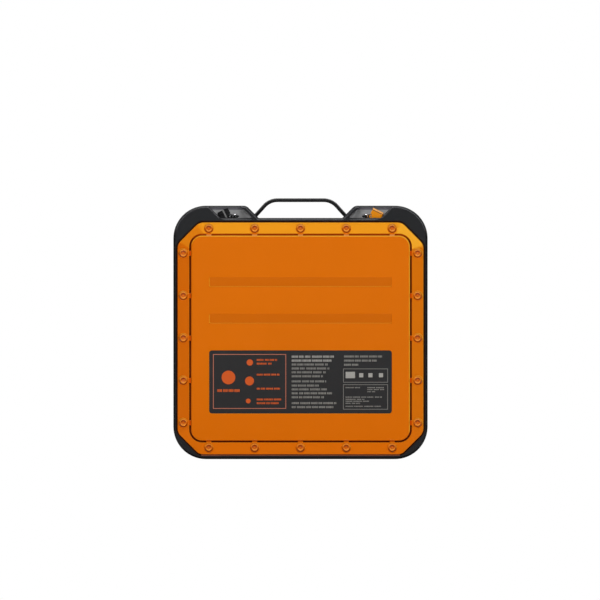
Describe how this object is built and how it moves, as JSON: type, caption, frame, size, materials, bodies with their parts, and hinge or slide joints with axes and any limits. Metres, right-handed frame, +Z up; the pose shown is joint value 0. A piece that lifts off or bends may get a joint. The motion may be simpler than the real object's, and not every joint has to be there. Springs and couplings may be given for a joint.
{
  "type": "jump starter pack",
  "caption": "Rugged free-standing battery pack with a black housing, screwed orange rear cover, folding carrying handle and two capped contact studs in open pockets.",
  "frame": {"origin": "centre of the pack's footprint, on the surface that it stands on", "axes": "+Z up; the orange rear cover faces -Y; +X to the right when looking at the rear cover"},
  "size_m": [0.32, 0.11, 0.3284],
  "materials": {
    "housing": "fine textured black moulding",
    "cover": "satin orange moulding",
    "label": "smooth dark laminate with pale and orange print",
    "seal": "soft black rubber",
    "screw": "orange coated steel",
    "brass": "turned brass",
    "plate": "grey moulded plate, finely grained",
    "stud": "bright nickel plate",
    "orange_cap": "satin orange moulding",
    "black_cap": "satin black moulding",
    "insulator": "black glass-filled plastic",
    "steel": "zinc plated steel",
    "handle": "black powder coat on aluminium",
    "bearing": "plain acetal bearing",
    "tray": "grey-black moulding",
    "cell": "blue film over an aluminium can",
    "foam": "closed-cell foam",
    "copper": "bare copper bar",
    "fuse": "moulded fuse body",
    "board": "green solder mask",
    "chip": "black epoxy",
    "sink": "extruded aluminium",
    "button": "satin dark grey moulding",
    "clear": "clear frosted light guide",
    "lamp": "small lamp"
  },
  "bodies": {
    "pack": {"housing": "housing", "rear_cover": "cover", "label_plate": "label", "cover_gasket": "seal", "cover_screws": "screw", "screw_inserts": "brass", "pocket_plates": "plate", "positive_stud": "stud", "negative_stud": "stud", "stud_seals": "seal", "stud_bushes": "insulator", "stud_nuts": "steel", "cap_pins": "steel", "handle_bolts": "steel", "handle_washers": "steel", "handle_inserts": "brass", "cell_tray": "tray", "cell_1": "cell", "cell_2": "cell", "cell_3": "cell", "cell_4": "cell", "cell_straps": "steel", "row_pads": "foam", "rear_pads": "foam", "series_links": "copper", "post_nuts": "steel", "positive_riser": "copper", "main_fuse": "fuse", "fuse_bolts": "steel", "fuse_nuts": "steel", "positive_busbar": "copper", "negative_riser": "copper", "negative_busbar": "copper", "board_lug_bolts": "steel", "control_board": "board", "board_screws": "steel", "power_transistors": "chip", "heat_sink": "sink", "button_seal": "seal", "push_switch": "chip", "light_guide": "clear", "charge_lamps": "lamp", "pressure_vent": "insulator", "vent_seal": "seal"},
    "handle": {"handle": "handle", "handle_bushes": "bearing"},
    "positive_cap": {"positive_cap": "orange_cap"},
    "negative_cap": {"negative_cap": "black_cap"},
    "power_button": {"power_button": "button", "button_clip": "steel"}
  },
  "joints": [
    {"name": "handle_fold", "type": "hinge", "parent": "pack", "child": "handle", "pos_m": [0, 0, 0.3], "axis": [-1, 0, 0], "range_deg": [0, 90]},
    {"name": "positive_cap_flip", "type": "hinge", "parent": "pack", "child": "positive_cap", "pos_m": [0.0886, -0.031, 0.3055], "axis": [0, -1, 0], "range_deg": [0, 116]},
    {"name": "negative_cap_flip", "type": "hinge", "parent": "pack", "child": "negative_cap", "pos_m": [-0.0886, -0.031, 0.3055], "axis": [0, 1, 0], "range_deg": [0, 116]},
    {"name": "power_button_press", "type": "slide", "parent": "pack", "child": "power_button", "axis": [0, -1, 0], "range_m": [0, 0.0015], "stiffness_N_per_m": 1200, "springref_m": -0.001}
  ]
}
